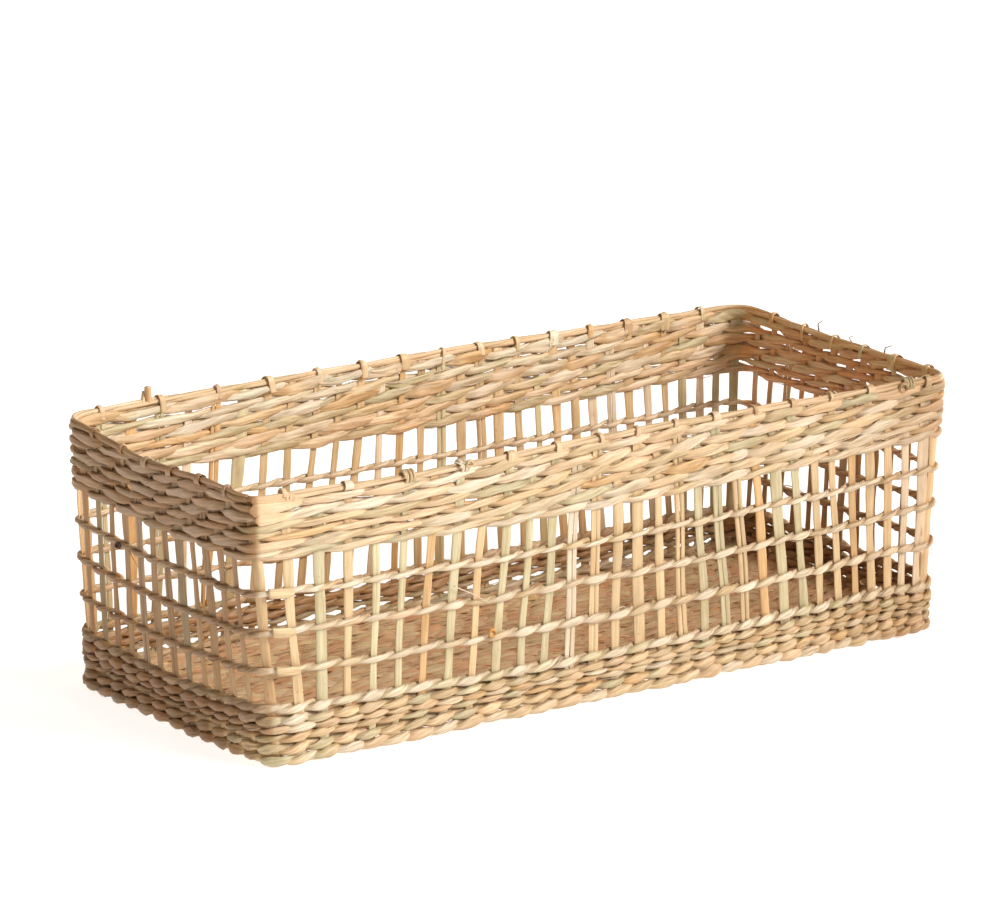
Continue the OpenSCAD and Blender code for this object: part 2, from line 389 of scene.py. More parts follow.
def painted_light_and_shade(points):
    """Painted light and shade: how much darker and more golden, or paler and redder, the straw is than its
    own tone at each point.
    """
    x, y, z = points.T
    hx, hy = half_x(z), half_y(z)
    right = np.clip(x / half_x(HEIGHT) / 2 + 0.5, 0, 1)
    low = 1 - np.clip(z / HEIGHT, 0, 1)
    end = ramp_up(-x, hx - 1 * MM, hx + 1 * MM)
    inside = 1 - np.maximum(ramp_up(np.abs(x), hx - 0.5 * MM, hx + 0.5 * MM),
                            ramp_up(np.abs(y), hy - 0.5 * MM, hy + 0.5 * MM))
    walls = inside * ramp_up(z, 10 * MM, 14 * MM)
    far = inside * ramp_up(x, hx - 6 * MM, hx - 1 * MM)
    far = far * (1 - ramp_up(np.abs(y), hy - 10 * MM, hy - 5 * MM))
    far_high = far * ramp_up(z, 40 * MM, 110 * MM)
    # painted shade: darker towards +X, low down, on the -X side, low on the inner walls, low on the inner
    # +X wall and outside near the +X end
    painted_shade_amount = PAINTED_SHADE_RIGHT * right + PAINTED_SHADE_RIGHT_TOP * right * (1 - low) + PAINTED_SHADE_LOW * low
    painted_shade_amount = painted_shade_amount + (PAINTED_SHADE_END + PAINTED_SHADE_END_LOW * low) * end
    painted_shade_amount = painted_shade_amount + PAINTED_SHADE_WALLS * walls * low + PAINTED_SHADE_FAR * (far - far_high)
    painted_shade_amount = painted_shade_amount + PAINTED_SHADE_RIGHT_END * ramp_up(x, 110 * MM, 180 * MM) * (1 - inside)
    # painted light: paler inside, more so towards +X and at the top
    painted_light = 1 + (PAINTED_LIGHT_INSIDE + PAINTED_LIGHT_RIGHT * right + PAINTED_LIGHT_TOP * (1 - low)) * inside
    # painted warm light: redder and lighter near the top of the inner +X wall
    painted_warm_light = 1 + far_high[:, None] * PAINTED_WARM_LIGHT
    return np.exp(-painted_shade_amount[:, None] * PAINTED_SHADE_COLOUR) * painted_light[:, None] * painted_warm_light


def on_wall(g, z, n):
    """Points of the settled basket from ring place, height and distance out."""
    x, y, nx, ny = wall_point(g, z)
    return np.stack(settle(x + nx * n, y + ny * n, z), -1)


def wander(x, scale, rng):
    """A smooth random function of x with an average swing of about 1."""
    total = np.zeros_like(x)
    for stretch in (0.6, 1.0, 1.7):
        total += np.sin(TAU * x / (scale * stretch) + rng.uniform(0, TAU))
    return total / 1.7


# ---------------------------------------------------------------- colours


def linear(r, g, b):
    c = np.array([r, g, b]) / 255
    return np.where(c <= 0.04045, c / 12.92, ((c + 0.055) / 1.055) ** 2.4)


CREAM = linear(246, 231, 208)
STRAW = linear(230, 204, 162)
GOLD = linear(226, 188, 136)
PEACH = linear(243, 212, 174)
SAGE = linear(219, 209, 172)
TAN = linear(222, 187, 147)
ROSE = linear(240, 209, 178)
BARK = linear(176, 134, 92)


def pick(rng, palette):
    """One colour of a palette of (colour, weight), a little lighter or darker."""
    weights = np.array([w for _, w in palette], float)
    chosen = palette[rng.choice(len(palette), p=weights / weights.sum())][0]
    return chosen * rng.uniform(0.88, 1.08)


BAND = ((CREAM, 4), (STRAW, 4), (SAGE, 2), (PEACH, 3), (GOLD, 2))
TOP = ((CREAM, 6), (STRAW, 3), (SAGE, 2), (PEACH, 4), (GOLD, 1))
LATTICE = ((CREAM, 7), (STRAW, 2), (SAGE, 1), (PEACH, 2))
UPRIGHT = ((CREAM, 3), (STRAW, 6), (GOLD, 1), (SAGE, 4))
RIM = ((ROSE, 2), (STRAW, 3), (PEACH, 2), (TAN, 2))
GROUND = ((ROSE, 6), (TAN, 3), (PEACH, 3))

# ---------------------------------------------------------------- twined rows


class Twine:
    """The shape of one strand of a twined row. Lengths are given in mm and kept in metres.

    swing_n, swing_z: how far its middle swings out and up. wide, thick: half the section.
    pinch: how much thinner it is where it passes a stake. span: stakes that it passes at a time.
    flat: how squarely it swings. out: how far it stands proud. roll: whether it twists right round.
    swell: how much fuller it is in the middle of the front. thin_side, thin: one side that is thinner."""

    def __init__(self, swing_n, swing_z, wide, thick, pinch, span=1, flat=1.5, out=0.0, roll=True,
                 palette=BAND, swell=0.0, thin_side=0, thin=0.0):
        self.swing_n = swing_n * MM
        self.swing_z = swing_z * MM
        self.wide = wide * MM
        self.thick = thick * MM
        self.pinch = pinch
        self.span = span
        self.flat = flat
        self.out = out * MM
        self.roll = roll
        self.palette = palette
        self.swell = swell
        self.thin_side = thin_side
        self.thin = thin


SIDES_ROUND = 22
STEPS_PER_STAKE = 14


def section(rng, length, half_wide, half_thick, sides=SIDES_ROUND, grooves=5, depth=0.2):
    """A strand of a few flattened leaves: grooves wind slowly round it between the leaves.

    Returns the section across and outwards, and how light each place round it is, about -1 to 1: the
    leaves' own tones, with painted shade in the grooves and along both edges."""
    v = np.arange(sides) / sides * TAU
    shape = np.ones((len(length), sides))
    leaf = np.zeros((len(length), sides))
    wind = rng.choice([-1, 1]) * TAU / rng.uniform(45 * MM, 120 * MM)
    start = rng.uniform(0, TAU)
    for groove in range(grooves):
        place = start + groove * TAU / grooves + wind * length
        place = place + 0.35 * wander(length, 40 * MM, rng)
        gap = np.angle(np.exp(1j * (v[None, :] - place[:, None])))
        shape -= rng.uniform(0.4, 1) * depth * bump(gap / 0.24)
        # painted shade: the colour is darker in each groove between the leaves
        leaf -= rng.uniform(0.6, 1.6) * bump(gap / 0.24)
        leaf += rng.uniform(-1, 1) * bump((gap - math.pi / grooves) / (1.6 / grooves))
    # painted shade: the colour is darker along both edges of the strand, where it meets its neighbours
    leaf -= 1.5 * np.abs(np.cos(v)) ** 6
    t = half_wide[:, None] * np.cos(v) * shape
    r = half_thick[:, None] * np.sign(np.sin(v)) * np.abs(np.sin(v)) ** 0.85 * shape
    return t, r, leaf


def leaf_tone_and_painted_shade(tone, leaf, strength=0.13):
    """Colours a ring and a place round it with the leaves' tones and the painted shade of the grooves and
    edges: the darker places are also the more golden ones.
    """
    shade = strength * leaf[:, :, None] * np.array([0.8, 1.0, 1.35])
    return tone[:, None, :] * (1 + shade)


def slope(phase):
    """A wave between -1 and 1 that climbs and falls almost straight."""
    return np.arcsin(0.96 * np.sin(phase)) / math.asin(0.96)


def strand_pieces(rng, first, last, shortest=16, longest=40):
    """Cuts a strand that runs from one ring index to another into rush lengths."""
    cuts = [first]
    while last - cuts[-1] > longest:
        cuts.append(cuts[-1] + rng.integers(shortest, longest))
    return list(zip(cuts, cuts[1:] + [last]))


def drifting(rng, palette, c, scale):
    """A colour along a strand that drifts between two of a palette."""
    fade = np.clip(0.5 + 0.5 * wander(c, scale, rng), 0, 1)[:, None]
    return pick(rng, palette) * fade + pick(rng, palette) * (1 - fade)


def strand_line(c, z, twine, first, strand, seed):
    """Ring place, height, distance out, turn of the section and fullness along one strand."""
    rng = np.random.default_rng(seed)
    g = np.interp(np.mod(c, STAKES), np.arange(STAKES + 1), stations(z))
    phase = math.pi * ((c + first) / twine.span - (twine.span - 1) / (2 * twine.span) + strand)
    phase = phase + 0.16 * wander(c, 2.7, rng)
    uneven = 0.4 * wander(c, 5.3, rng) * MM
    full = np.exp(0.11 * wander(c, 1.9, rng)) * (1 - twine.pinch * np.abs(np.sin(phase)) ** 1.6)
    full = full * (1 + twine.swell * ramp_up(g, 0.3, 0.4) * (1 - ramp_up(g, 0.85, 1.0)))
    into_side = g - twine.thin_side
    within = ramp_up(into_side, 0.0, 0.05) * (1 - ramp_up(into_side, 0.95, 1.0))
    full = full * (1 - twine.thin * within)
    swing = np.tanh(twine.flat * np.cos(phase)) / math.tanh(twine.flat)
    n = twine.out + twine.swing_n * swing
    height = z + uneven + twine.swing_z * slope(phase) * (1 + 0.15 * wander(c, 3.1, rng))
    turning = phase - 0.42 * np.sin(2 * phase) if twine.roll else 0.3 * np.sin(phase)
    return g, height, n, turning + 0.1 * wander(c, 4.0, rng), full


def path_length(g, z):
    x, y, _, _ = wall_point(g, np.full_like(g, z))
    return np.concatenate([[0], np.cumsum(np.hypot(np.diff(x), np.diff(y)))])


def lay(g, z, n, turning, t, r):
    """Points of a tube along a strand line, from its section across (t) and outwards (r)."""
    co, si = np.cos(turning)[:, None], np.sin(turning)[:, None]
    dn, dz = r * co - t * si, r * si + t * co
    return on_wall(g[:, None] + 0 * t, np.maximum(z[:, None] + dz, 0.1 * MM), n[:, None] + dn)


def loose_fibres(bag, z, twine, first, rng, seeds, count):
    """Hair-thin fibres that wind over the strands of a row."""
    for _ in range(count):
        strand = int(rng.integers(0, 2))
        start = rng.uniform(0, STAKES)
        c = np.linspace(start, start + rng.uniform(0.7, 2.6), 30)
        g, height, n, turning, full = strand_line(c, z, twine, first, strand, seeds[strand])
        v = rng.uniform(0, TAU) + rng.uniform(-1.6, 1.6) * np.linspace(0, 1, len(c))
        thin = rng.uniform(0.14, 0.26) * MM * np.sin(math.pi * np.linspace(0.06, 0.94, len(c)))
        around = np.arange(4) / 4 * TAU
        lift = 1.03 + 0.15 * rng.uniform() * np.linspace(0, 1, len(c)) ** 3
        t = (twine.wide * full * lift * np.cos(v))[:, None] + thin[:, None] * np.cos(around)
        r = (twine.thick * lift * np.sin(v))[:, None] + thin[:, None] * np.sin(around)
        bag.add(lay(g, height, n, turning, t, r), path_length(g, z), pick(rng, TOP), 1 * MM)


# How far the ends of a strand's lengths run past each other, and how fast they taper, in stakes
LAP, TIP = 0.45, 0.35


def twined_ring(bag, z, twine, first, rng, fibres=40):
    """Two strands right round the basket at height z, on opposite sides of every stake."""
    seeds = rng.integers(1 << 30, size=2)
    for strand in (0, 1):
        offset = int(rng.integers(0, STAKES))
        for start, end in strand_pieces(rng, offset, offset + STAKES):
            steps = int((end - start + 2 * LAP) * STEPS_PER_STAKE)
            c = np.linspace(start - LAP, end + LAP, steps)
            g, height, n, turning, full = strand_line(c, z, twine, first, strand, seeds[strand])
            length = path_length(g, z)
            tip = np.clip(np.minimum(c - c[0], c[-1] - c) / TIP, 0, 1)
            tip = 0.25 + 0.75 * np.sqrt(tip)
            fat = rng.uniform(0.72, 1.2)
            wide = twine.wide * fat * full * tip
            thick = twine.thick * (0.85 + 0.15 * fat) * tip
            t, r, leaf = section(rng, length, wide, thick)
            tone = drifting(rng, twine.palette, c, 9.0)
            bag.add(lay(g, height, n, turning, t, r), length, leaf_tone_and_painted_shade(tone, leaf), 4 * twine.wide)
    loose_fibres(bag, z, twine, first, rng, seeds, fibres)


BOTTOM = Twine(1.5, 0.8, 2.95, 1.3, 0.32, flat=1.7, roll=False)
BOTTOM_EDGE = Twine(1.5, 0.8, 2.9, 1.3, 0.34, flat=1.7, roll=False, thin_side=2, thin=0.3)
BOTTOM_TOP = Twine(1.4, 0.7, 2.1, 1.15, 0.24, flat=1.5, palette=LATTICE, thin_side=2, thin=0.1)
OPEN = Twine(1.3, 0.5, 1.35, 0.95, 0.12, palette=LATTICE)
OPEN_LOW = Twine(1.3, 0.55, 1.35, 1.0, 0.2, palette=LATTICE, swell=0.4)
UPPER = Twine(1.25, 0.95, 2.1, 1.05, 0.16, span=2, flat=2.2, roll=False, palette=TOP,
              thin_side=1, thin=0.2)
FOOT = Twine(1.3, 0.65, 2.6, 1.3, 0.25, flat=1.7, out=0.8, roll=False)


def turned_end(bag, z, rng):
    """The blunt turned-back end of a lattice row, just past the first corner."""
    s = np.linspace(0, 1, 16)
    g = 0.012 + (rng.uniform(8, 11) * MM * s) / side_run(half_x(z))
    blunt = np.sqrt(np.clip(1 - np.clip((s - 0.6) / 0.42, 0, 1) ** 2, 0, 1))
    t, r, leaf = section(rng, s * 10 * MM, 2.1 * MM * blunt + 0.1 * MM, 0.9 * MM * blunt + 0.1 * MM)
    line = (g, z + 0.6 * MM - 0.8 * MM * s, 1.9 * MM + 0 * s, 0 * s)
    bag.add(lay(*line, t, r), 10 * MM * s, leaf_tone_and_painted_shade(STRAW + 0 * s[:, None], leaf), 8 * MM)


def make(bag, name, material, slot, *nodes):
    """Turns a bag into a piece that stands for CAD nodes."""
    piece = bpy.data.objects.new(name, bag.mesh(name))
    bpy.context.scene.collection.objects.link(piece)
    piece.data.materials.append(material)
    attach(piece, "root")
    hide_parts(*nodes)
    return piece


# ---------------------------------------------------------------- materials


def straw_material(name, streak, bump_depth, rough, sheen, dirt):
    """Dry rush: the strand's own colour, fibres along it, a few darker flecks and a soft gloss."""
    mat = bpy.data.materials.new(name)
    mat.use_nodes = True
    tree = mat.node_tree
    nodes, links = tree.nodes, tree.links
    shader = nodes["Principled BSDF"]
    tone = nodes.new("ShaderNodeAttribute")
    tone.attribute_name = "tone"
    place = nodes.new("ShaderNodeUVMap")
    place.uv_map = "strand"

    def noise(scale_along, scale_round, detail, roughness=0.6):
        stretch = nodes.new("ShaderNodeMapping")
        stretch.inputs["Scale"].default_value = (scale_along, scale_round, 1)
        links.new(place.outputs["UV"], stretch.inputs["Vector"])
        tex = nodes.new("ShaderNodeTexNoise")
        tex.inputs["Scale"].default_value = 1
        tex.inputs["Detail"].default_value = detail
        tex.inputs["Roughness"].default_value = roughness
        links.new(stretch.outputs["Vector"], tex.inputs["Vector"])
        return tex.outputs["Fac"]

    def ramp(value, stops):
        node = nodes.new("ShaderNodeValToRGB")
        ends = node.color_ramp.elements
        while len(ends) < len(stops):
            ends.new(0.5)
        for end, (at, colour) in zip(ends, stops):
            end.position = at
            end.color = (*colour, 1)
        links.new(value, node.inputs["Fac"])
        return node.outputs["Color"]

    def multiply(a, b):
        node = nodes.new("ShaderNodeMix")
        node.data_type = "RGBA"
        node.blend_type = "MULTIPLY"
        node.inputs["Factor"].default_value = 1
        links.new(a, node.inputs["A"])
        links.new(b, node.inputs["B"])
        return node.outputs["Result"]

    fibres = noise(40, 10, 5)
    fine = noise(140, 42, 3)
    blotch = noise(45, 1.2, 3)
    fleck = noise(420, 9, 2)
    dark = 1 - streak
    colour = multiply(tone.outputs["Color"],
                      ramp(fibres, ((0.3, (dark, dark * 0.96, dark * 0.91)), (0.62, (1, 1, 1)))))
    colour = multiply(colour, ramp(fine, ((0.3, (1 - streak * 0.5,) * 3), (0.6, (1, 1, 1)))))
    colour = multiply(colour, ramp(blotch, ((0.32, (0.9, 0.84, 0.74)), (0.5, (1, 1, 1)),
                                            (0.7, (1, 1.0, 0.97)))))
    colour = multiply(colour, ramp(fleck, ((0.24, (1 - dirt, 1 - dirt * 1.1, 1 - dirt * 1.25)),
                                           (0.33, (1, 1, 1)))))
    links.new(colour, shader.inputs["Base Color"])
    gloss = nodes.new("ShaderNodeMapRange")
    gloss.inputs["To Min"].default_value = rough - 0.1
    gloss.inputs["To Max"].default_value = rough + 0.12
    links.new(fibres, gloss.inputs["Value"])
    links.new(gloss.outputs["Result"], shader.inputs["Roughness"])
    shader.inputs["Sheen Weight"].default_value = sheen
    shader.inputs["Sheen Roughness"].default_value = 0.45
    shader.inputs["Specular IOR Level"].default_value = 0.55
    ridge = nodes.new("ShaderNodeBump")
    ridge.inputs["Strength"].default_value = 0.7
    ridge.inputs["Distance"].default_value = bump_depth
    grain = nodes.new("ShaderNodeMath")
    grain.operation = "MULTIPLY_ADD"
    grain.inputs[1].default_value = 0.5
    links.new(fine, grain.inputs[0])
    links.new(fibres, grain.inputs[2])
    links.new(grain.outputs["Value"], ridge.inputs["Height"])
    links.new(ridge.outputs["Normal"], shader.inputs["Normal"])
    return mat


band_mat = straw_material("band_rush", 0.42, 0.3 * MM, 0.44, 0.08, 0.5)
lattice_mat = straw_material("lattice_rush", 0.34, 0.25 * MM, 0.44, 0.08, 0.35)
stake_mat = straw_material("stake_leaf", 0.28, 0.16 * MM, 0.48, 0.06, 0.35)
floor_mat = straw_material("floor_rush", 0.24, 0.3 * MM, 0.66, 0.12, 0.4)
rim_mat = straw_material("rim_rush", 0.30, 0.2 * MM, 0.52, 0.08, 0.45)

# ---------------------------------------------------------------- the rows

SIDE_NAMES = ("front", "right", "back", "left")
ORANGE = linear(236, 176, 92)
DARK = linear(96, 62, 46)


def thread(bag, line, radius, tone, taper=0.7):
    """A thin tube along a line of points, thinner towards its far end."""
    line = np.asarray(line)
    along = np.gradient(line, axis=0)
    along /= np.linalg.norm(along, axis=1, keepdims=True)
    side = np.cross(along, np.array([0.31, 0.52, 0.79]))
    side /= np.linalg.norm(side, axis=1, keepdims=True)
    other = np.cross(along, side)
    a = np.arange(6) / 6 * TAU
    radii = radius * (1 - taper * np.linspace(0, 1, len(line)))[:, None, None]
    ring = side[:, None] * np.cos(a)[None, :, None] + other[:, None] * np.sin(a)[None, :, None]
    length = np.concatenate([[0], np.cumsum(np.linalg.norm(np.diff(line, axis=0), axis=1))])
    bag.add(line[:, None] + radii * ring, length, tone, 4 * MM)


def hair(bag, g, z, start, rise, reach, curl, radius, tone):
    """A stray fibre out of the wall: it climbs by rise, moves along by reach and curls."""
    s = np.linspace(0, 1, 24)
    swirl = curl * MM * np.sin(math.pi * 1.4 * s) * s
    gg = g + (reach * MM * s + swirl) / run_at(g, z)
    n = start * MM + (1.5 * s + 0.6 * np.sin(5 * s)) * MM
    thread(bag, on_wall(gg, z + rise * MM * s, n), radius * MM, tone)


def knot(bag, g, z, n, size, turns, tone):
    """A small curl of fibre wound on itself."""
    s = np.linspace(0, 1, 14 * turns)
    a = TAU * turns * s
    gg = g + size * MM * np.cos(a) / run_at(g, z)
    points = on_wall(gg, z + size * MM * 0.8 * np.sin(a), n * MM + 1.2 * MM * s)
    thread(bag, points, 0.75 * MM, tone)


# How far each row of the bottom band is shifted along, in stakes, and lifted, in mm
BOTTOM_SET = ((0.2, -0.6), (0.2, 0.4), (-0.1, 0.1), (0.15, -0.1), (0.15, 0.5))
TOP_LIFT, FOOT_LIFT = 0.7 * MM, 0.9 * MM
FIRST_SEED = 101


def stray_fibres(bag, node):
    """The hairs and curls that stand out of a few of the rows."""
    z = middle_z(node)
    if node == "bottom_row_1":
        hair(bag, 3.62, 6 * MM, 2.5, -3, 7, 5, 0.22, DARK)
    elif node == "open_row_1":
        knot(bag, 0.312, z + 2.6 * MM, 2.6, 1.6, 2, ORANGE)
    elif node == "open_row_3":
        knot(bag, 3.29, z, 2.2, 1.2, 3, DARK)
        hair(bag, 0.26, z - 8 * MM, 2.0, -9, 17, 1, 0.32, CREAM)
        hair(bag, 3.35, z, 2.0, -7, 10, 2, 0.2, STRAW)
    elif node == "top_row_3":
        hair(bag, 3.15, z, 2.2, 4, 16, 3, 0.25, TAN)
        hair(bag, 3.2, z - 3 * MM, 2.2, 6, 12, -3, 0.25, BARK)


def weave_row(bag, node, rng):
    """The strands of one row, by the kind of row that it is."""
    z = middle_z(node)
    kind, number = node.split("_")[0], node.split("_")[-1]
    if kind == "bottom":
        stagger, rise = BOTTOM_SET[int(number) - 1]
        twine = {"3": BOTTOM, "5": BOTTOM_TOP}.get(number, BOTTOM_EDGE)
        twined_ring(bag, z + rise * MM, twine, stagger, rng)
    elif kind == "open":
        twined_ring(bag, z, OPEN_LOW if number == "1" else OPEN, 0, rng, fibres=30)
        turned_end(bag, z, rng)
    elif kind == "top":
        twined_ring(bag, z + (TOP_LIFT if node == HIGH_ROW else 0), UPPER, int(number), rng)
    else:
        twined_ring(bag, z + FOOT_LIFT, FOOT, 0, rng)


OPEN_ROWS = [node for node in sorted(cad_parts) if node.startswith("open_row_")]
ROWS = [node for node in sorted(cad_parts) if "_row_" in node or node == "foot_braid"]
for seed, node in enumerate(ROWS, FIRST_SEED):
    bag = Bag()
    stray_fibres(bag, node)
    weave_row(bag, node, np.random.default_rng(seed))
    if node in OPEN_ROWS:
        make(bag, node + "_twine", lattice_mat, "lattice_straw", node)
    else:
        make(bag, node + "_twine", band_mat, "band_straw", node)

# ---------------------------------------------------------------- stakes

LATTICE_ROWS = [middle_z(node) for node in OPEN_ROWS]
STAKE_SIDES = 12
STAKE_THICK = 0.38 * MM


def strip_section(rng, length, half_wide, half_thick, sides=STAKE_SIDES):
    """A flat leaf strip with a crease along it that wanders a little."""
    v = np.arange(sides) / sides * TAU
    t = half_wide[:, None] * np.sign(np.cos(v)) * np.abs(np.cos(v)) ** 0.8
    r = half_thick[:, None] * np.sign(np.sin(v)) * np.abs(np.sin(v)) ** 0.7
    fold = rng.uniform(-0.5, 0.5) + 0.2 * wander(length, 60 * MM, rng)
    rise = rng.uniform(0.15, 0.5) * rng.choice([-1, 1]) * MM
    r = r + rise * (bump((t / half_wide[:, None] - fold[:, None]) / 0.35) - 0.3)
    return t, r


def upright(bag, k, width, rng, aside=0.0, tone=None):
    """One strip up the wall at stake k, from the floor to under the rim rod."""
    z = np.linspace(STAKE_LOW, STAKE_HIGH, 80)
    f = (z - STAKE_LOW) / (STAKE_HIGH - STAKE_LOW)
    g = RING[0, k] * (1 - f) + RING[1, k] * f
    squeeze = sum(bump((z - row) / (3.5 * MM)) for row in LATTICE_ROWS)
    wide = width / 2 * (1 - 0.05 * squeeze) * (1 + 0.05 * wander(z, 80 * MM, rng))
    t, r = strip_section(rng, z, wide, np.full_like(z, STAKE_THICK))
    twist = 0.14 * wander(z, 70 * MM, rng) * (1 - 0.8 * np.clip(squeeze, 0, 1))
    co, si = np.cos(twist)[:, None], np.sin(twist)[:, None]
    dt, dn = t * co - r * si, t * si + r * co
    sway = aside + 0.4 * MM * wander(z, 90 * MM, np.random.default_rng(k))
    gg = g[:, None] + (sway[:, None] + dt) / run_at(g, z)[:, None]
    points = on_wall(gg, z[:, None] + 0 * t, dn)
    if tone is None:
        tone = pick(rng, UPRIGHT)
    bag.add(points[:, ::-1], z - z[0], tone, 2 * width)


CORNERS = [k for k in range(STAKES) if abs(RING[0, k] - round(RING[0, k])) < 1e-9]
# Widths of the corner, wide and usual stakes, in mm, and the share that are split or wide
CORNER_WIDTHS, WIDE_WIDTHS, USUAL_WIDTHS = (5.6, 6.4), (5.4, 6.2), (3.4, 4.8)
SPLIT_SHARE, WIDE_SHARE = 0.22, 0.12
SPLIT_ASIDE = 1.25 * MM


def split_stake(bag, k, rng):
    """Two narrow strips side by side in place of one stake."""
    tone = pick(rng, UPRIGHT)
    upright(bag, k, 2.5 * MM, rng, -SPLIT_ASIDE, tone)
    upright(bag, k, 2.3 * MM, rng, SPLIT_ASIDE, tone * 0.93)


rng = np.random.default_rng(7)
bags = {name: Bag() for name in SIDE_NAMES + ("corner",)}
for k in range(STAKES):
    name = "corner" if k in CORNERS else SIDE_NAMES[SIDE_OF[k]]
    kind = rng.uniform()
    if name == "corner":
        upright(bags[name], k, rng.uniform(*CORNER_WIDTHS) * MM, rng)
    elif kind < SPLIT_SHARE:
        split_stake(bags[name], k, rng)
    elif kind < SPLIT_SHARE + WIDE_SHARE:
        upright(bags[name], k, rng.uniform(*WIDE_WIDTHS) * MM, rng)
    else:
        upright(bags[name], k, rng.uniform(*USUAL_WIDTHS) * MM, rng)
for name, bag in bags.items():
    make(bag, name + "_stake_leaves", stake_mat, "stake_straw", name + "_stakes")

# ---------------------------------------------------------------- floor

floor_low, floor_high = box_of("floor_rows_upper")
WARP_Z = middle_z("floor_warps")
WARP_X = stake_centres("front_stakes", STAKE_LOW, 0)
# Spacing of the floor's rows, and of the warps past the first and the last one
ROW_STEP = 4.3 * MM
BEFORE_STEP, PAST_STEP = 13 * MM, 11 * MM
FLOOR_STEP = 1.6 * MM
ROW_COUNT = round((floor_high[1] - floor_low[1]) / ROW_STEP)
FLOOR_TINT = np.array([1.3, 1.1, 1.02])


def floor_strand(bag, y, half, strand, offset, rng):
    """One strand of a floor row along X, over and under the warps."""
    x = np.arange(-half, half, FLOOR_STEP)
    c = np.interp(x, WARP_X, np.arange(len(WARP_X)))
    c = c + np.clip(x - WARP_X[-1], 0, None) / PAST_STEP - np.clip(WARP_X[0] - x, 0, None) / BEFORE_STEP
    phase = math.pi * (c + strand + offset) + 0.3 * wander(c, 4.0, rng)
    wide = 2.9 * MM * rng.uniform(0.85, 1.15) * np.exp(0.1 * wander(c, 2.1, rng))
    t, r, leaf = section(rng, x, wide, np.full_like(x, 0.55 * MM), sides=12, grooves=4, depth=0.16)
    yy = y + 0.7 * MM * slope(phase) + 0.4 * MM * wander(c, 6.0, rng)
    zz = WARP_Z + 0.8 * MM * np.cos(phase) + 0.12 * MM * wander(c, 3.0, rng)
    tilt = 0.3 * np.sin(phase)[:, None]
    points = np.stack([x[:, None] + 0 * t, yy[:, None] + t, zz[:, None] + r + tilt * t], -1)
    tone = drifting(rng, GROUND, c, 5.0) * FLOOR_TINT
    bag.add(points, x + half, leaf_tone_and_painted_shade(tone, leaf, 0.13), 10 * MM)


def floor_fibres(bag, count, rng):
    """Fine loose fibres lying along the floor's upper face."""
    edge = 4 * MM
    s = np.linspace(0, 1, 12)
    for _ in range(count):
        long = rng.uniform(9, 34) * MM
        x = rng.uniform(floor_low[0] + edge, floor_high[0] - edge - long)
        y = rng.uniform(floor_low[1] + edge, floor_high[1] - edge)
        bend = rng.uniform(-1, 1) * 2.0 * MM
        z = WARP_Z + 1.25 * MM + 0.3 * MM * np.sin(math.pi * s) + 0.2 * MM * rng.uniform()
        line = np.stack([x + long * s, y + bend * s + 0.5 * MM * np.sin(5 * s + 6 * x / MM), z], -1)
        thread(bag, line, rng.uniform(0.14, 0.3) * MM, pick(rng, GROUND) * rng.uniform(0.85, 1.15))


def row_half(y):
    """Half the length of the floor row at y: the outer rows are shorter, as the corners are round."""
    past = max(abs(y) + 2 * MM - (floor_high[1] - CORNER_RADIUS), 0)
    inset = CORNER_RADIUS - math.sqrt(max(CORNER_RADIUS ** 2 - past ** 2, 0)) - 1.4 * MM
    return floor_high[0] - inset


def floor_warps(bag, rng):
    """The flat strips across the basket that the floor's rows pass over and under."""
    low, high = box_of("floor_warps")
    y = np.linspace(low[1], high[1], 60)
    for x in WARP_X:
        wide = rng.uniform(1.8, 2.4) * MM * np.ones_like(y)
        t, r = strip_section(rng, y, wide, np.full_like(y, 0.2 * MM))
        points = np.stack([x + t, y[:, None] + 0 * t, WARP_Z + r], -1)
        bag.add(points[:, ::-1], y - y[0], pick(rng, UPRIGHT), 9 * MM)


rng = np.random.default_rng(31)
floor_bags = (Bag(), Bag())
for row in range(ROW_COUNT):
    y = (row - (ROW_COUNT - 1) / 2) * (floor_high[1] - floor_low[1]) / ROW_COUNT
    offset = rng.uniform(-0.4, 0.4)
    for strand, bag in enumerate(floor_bags):
        floor_strand(bag, y, row_half(y), strand, offset, rng)
make(floor_bags[0], "floor_twine_upper", floor_mat, "floor_straw", "floor_rows_upper")
make(floor_bags[1], "floor_twine_lower", floor_mat, "floor_straw", "floor_rows_lower")
bag = Bag()
floor_warps(bag, rng)
floor_fibres(bag, 380, rng)
make(bag, "floor_warp_leaves", floor_mat, "floor_straw", "floor_warps")

# ---------------------------------------------------------------- rim

ROD_STRANDS = 3
ROD_TURN = 95 * MM
# A second flat strand along the front of the rod, from the -X -Y corner
DOUBLED = 17 * MM
# Wide strands below it: how far below the rod, length and half width, in mm, and ring place
CORNER_FLOATS = ((4.4, 21, 2.9, 0.002), (8.6, 17, 2.5, 0.006))


